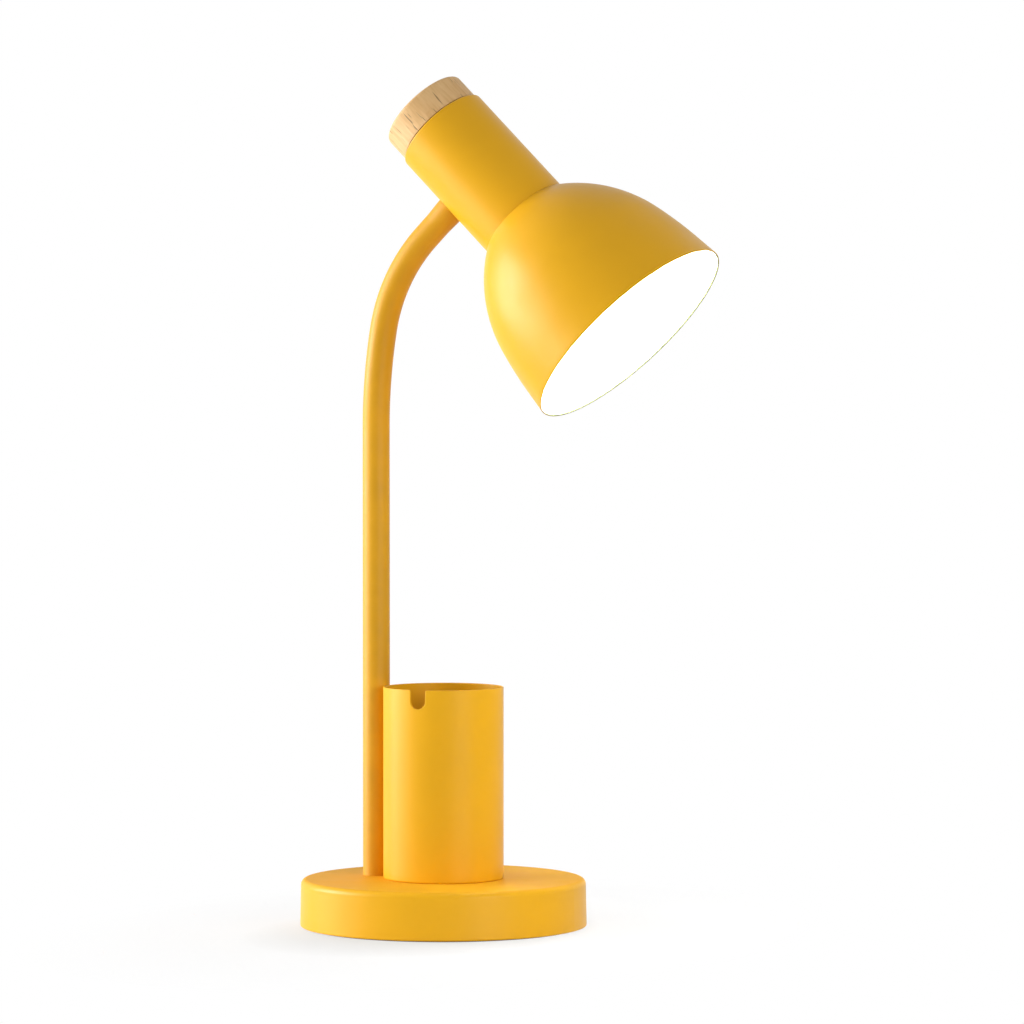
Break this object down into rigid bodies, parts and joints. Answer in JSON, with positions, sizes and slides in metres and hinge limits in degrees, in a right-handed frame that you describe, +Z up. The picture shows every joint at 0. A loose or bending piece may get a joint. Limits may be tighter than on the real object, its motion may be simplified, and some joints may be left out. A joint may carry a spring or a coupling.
{
  "type": "desk lamp with pen holder",
  "caption": "Desk lamp with a bell shade on a flexible gooseneck, a wooden rotary switch knob and a notched pen cup on a round weighted base.",
  "frame": {"origin": "middle of the foot pad's underside, on the table", "axes": "+Z up, +X towards the shade, +Y to the left of a user who looks along +X"},
  "size_m": [0.2258, 0.15, 0.4438],
  "materials": {
    "yellow_coat": "satin powder coat",
    "yellow_sleeve": "matte silicone",
    "shade_coat": "satin powder coat outside, white inside",
    "cast_weight": "rough cast",
    "plate_steel": "zinc plated",
    "fastener_steel": "zinc plated",
    "core_steel": "bright wire",
    "foot_foam": "matte foam",
    "gland_rubber": "matte",
    "lead_cover": "soft vinyl",
    "holder_plastic": "matte",
    "switch_plastic": "matte",
    "contact_brass": "bare",
    "bulb_cap_metal": "bare",
    "bulb_white": "gloss",
    "bulb_opal": "opal, lit",
    "knob_wood": "fine sanded"
  },
  "bodies": {
    "stand": {"base_shell": "yellow_coat", "base_weight": "cast_weight", "base_plate": "plate_steel", "base_screws": "fastener_steel", "foot_pad": "foot_foam", "cord_gland": "gland_rubber", "terminal_block": "holder_plastic", "post_tube": "core_steel", "post_sleeve": "yellow_sleeve", "post_washer": "fastener_steel", "post_nut": "fastener_steel", "pen_cup": "yellow_coat", "cup_screws": "fastener_steel", "lead_base": "lead_cover"},
    "neck_link_1": {"neck_core_1": "core_steel", "neck_sleeve_1": "yellow_sleeve", "neck_lead_1": "lead_cover"},
    "neck_link_2": {"neck_core_2": "core_steel", "neck_sleeve_2": "yellow_sleeve", "neck_lead_2": "lead_cover"},
    "neck_link_3": {"neck_core_3": "core_steel", "neck_sleeve_3": "yellow_sleeve", "neck_lead_3": "lead_cover"},
    "neck_link_4": {"neck_core_4": "core_steel", "neck_sleeve_4": "yellow_sleeve", "neck_lead_4": "lead_cover"},
    "neck_link_5": {"neck_core_5": "core_steel", "neck_sleeve_5": "yellow_sleeve", "neck_lead_5": "lead_cover"},
    "neck_link_6": {"neck_core_6": "core_steel", "neck_sleeve_6": "yellow_sleeve", "neck_lead_6": "lead_cover"},
    "neck_link_7": {"neck_core_7": "core_steel", "neck_sleeve_7": "yellow_sleeve", "neck_lead_7": "lead_cover"},
    "head": {"neck_fitting": "core_steel", "neck_sleeve_end": "yellow_sleeve", "neck_saddle": "fastener_steel", "neck_nut": "fastener_steel", "lead_head": "lead_cover", "lamp_housing": "yellow_coat", "shade": "shade_coat", "shade_ring": "holder_plastic", "lampholder": "holder_plastic", "screw_shell": "contact_brass", "holder_contact": "contact_brass", "bulb_contact": "contact_brass", "bulb_cap": "bulb_cap_metal", "bulb_body": "bulb_white", "bulb_globe": "bulb_opal", "switch_plate": "plate_steel", "switch_body": "switch_plastic", "switch_nut": "fastener_steel", "switch_leads": "lead_cover"},
    "knob": {"knob": "knob_wood", "knob_insert": "contact_brass", "switch_shaft": "contact_brass"}
  },
  "joints": [
    {"name": "neck_bend_1", "type": "hinge", "parent": "stand", "child": "neck_link_1", "pos_m": [-0.039, 0, 0.15204], "axis": [0, 1, 0], "range_deg": [-12, 12]},
    {"name": "neck_sway_1", "type": "hinge", "parent": "neck_link_1", "child": "neck_link_2", "pos_m": [-0.039, 0, 0.18204], "axis": [1, 0, 0], "range_deg": [-12, 12]},
    {"name": "neck_bend_2", "type": "hinge", "parent": "neck_link_2", "child": "neck_link_3", "pos_m": [-0.039, 0, 0.21204], "axis": [0, 1, 0], "range_deg": [-12, 12]},
    {"name": "neck_sway_2", "type": "hinge", "parent": "neck_link_3", "child": "neck_link_4", "pos_m": [-0.039, 0, 0.24204], "axis": [1, 0, 0], "range_deg": [-12, 12]},
    {"name": "neck_bend_3", "type": "hinge", "parent": "neck_link_4", "child": "neck_link_5", "pos_m": [-0.0388, 0, 0.27204], "axis": [0, 1, 0], "range_deg": [-12, 12]},
    {"name": "neck_sway_3", "type": "hinge", "parent": "neck_link_5", "child": "neck_link_6", "pos_m": [-0.03625, 0, 0.30191], "axis": [0.991, 0, -0.1337], "range_deg": [-12, 12]},
    {"name": "neck_bend_4", "type": "hinge", "parent": "neck_link_6", "child": "neck_link_7", "pos_m": [-0.02937, 0, 0.33102], "axis": [0, 1, 0], "range_deg": [-12, 12]},
    {"name": "neck_sway_4", "type": "hinge", "parent": "neck_link_7", "child": "head", "pos_m": [-0.01366, 0, 0.35641], "axis": [0.7502, 0, -0.6612], "range_deg": [-12, 12]},
    {"name": "knob_turn", "type": "hinge", "parent": "head", "child": "knob", "pos_m": [-0.00078, 0, 0.41664], "axis": [-0.7071, 0, 0.7071], "range_deg": [0, 270]}
  ],
  "couplings": [
    {"joint": "neck_bend_2", "follows": "neck_bend_1", "ratio": 1},
    {"joint": "neck_sway_2", "follows": "neck_sway_1", "ratio": 1},
    {"joint": "neck_bend_3", "follows": "neck_bend_1", "ratio": 1},
    {"joint": "neck_sway_3", "follows": "neck_sway_1", "ratio": 1},
    {"joint": "neck_bend_4", "follows": "neck_bend_1", "ratio": 1},
    {"joint": "neck_sway_4", "follows": "neck_sway_1", "ratio": 1}
  ]
}
